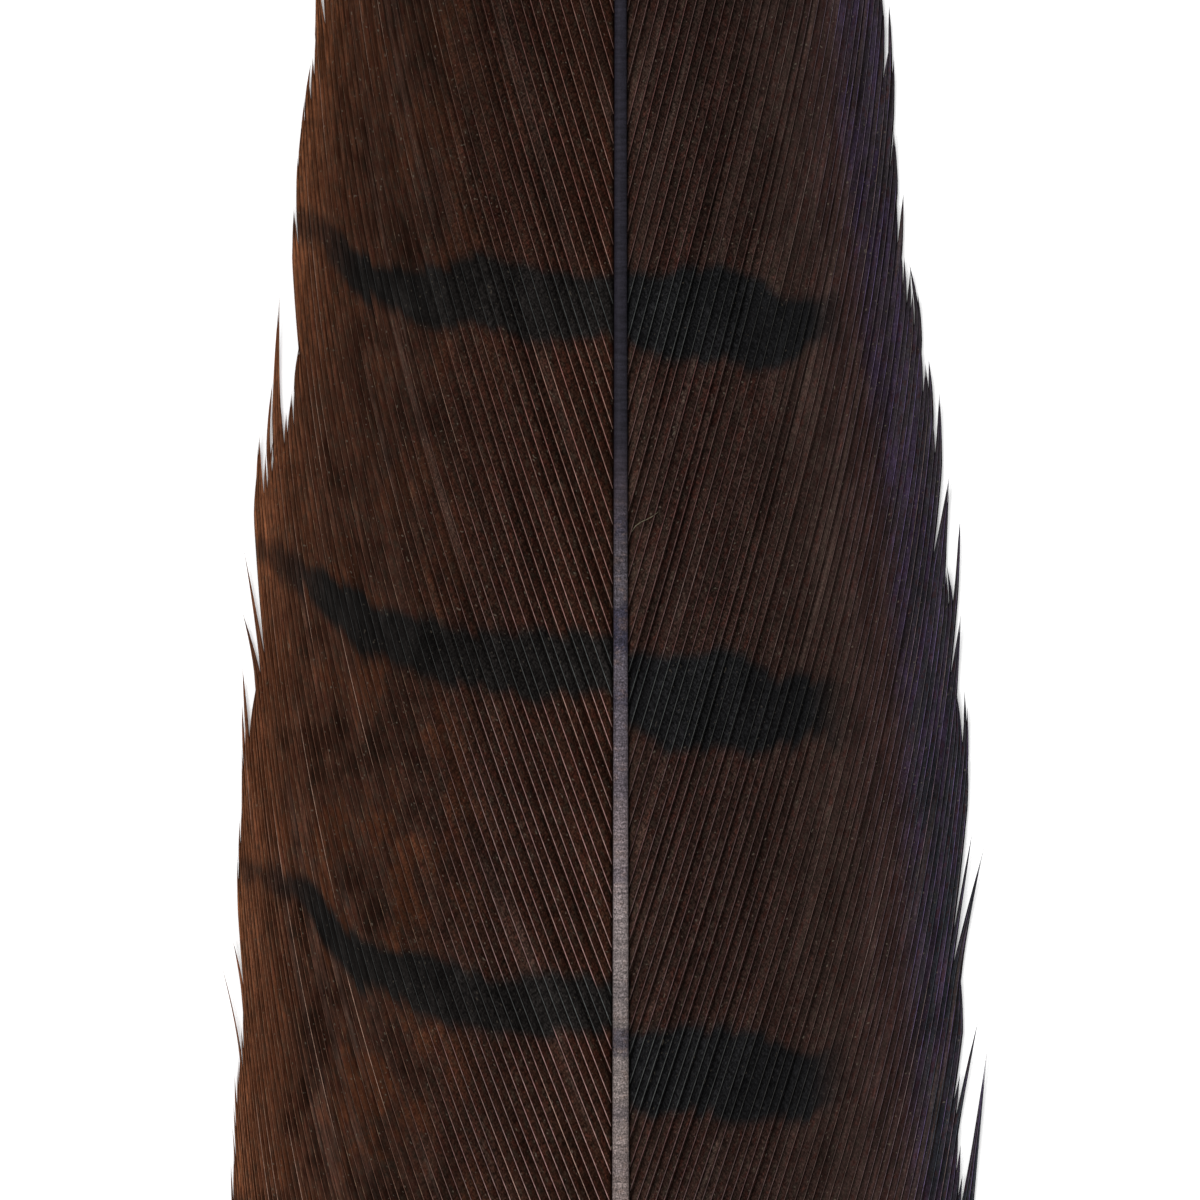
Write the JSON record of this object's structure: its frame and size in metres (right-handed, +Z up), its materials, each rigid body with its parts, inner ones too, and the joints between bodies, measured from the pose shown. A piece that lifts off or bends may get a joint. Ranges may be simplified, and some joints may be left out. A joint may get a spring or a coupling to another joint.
{
  "type": "pheasant tail feather",
  "caption": "Long barred tail feather lying upper side up: tapering shaft with bare quill, a rufous and a dusky vane with black bars, and grey down at the base.",
  "frame": {"origin": "middle of the feather's box, on the surface that the feather lies on", "axes": "+Y along the shaft to the feather's tip, +X to the right vane seen from above with the tip ahead, +Z up out of the feather's upper side"},
  "size_m": [0.0326, 0.2896, 0.0044],
  "materials": {
    "shaft": "satin keratin, slate blue to grey along the vanes and pale horn at the quill",
    "left_vane": "matte rufous brown barbs with black bars",
    "right_vane": "matte dusky brown barbs with black bars and a dull violet edge",
    "down": "soft grey brown down"
  },
  "bodies": {
    "root": {"shaft": "shaft", "left_vane": "left_vane", "right_vane": "right_vane", "left_down": "down", "right_down": "down"}
  },
  "joints": []
}
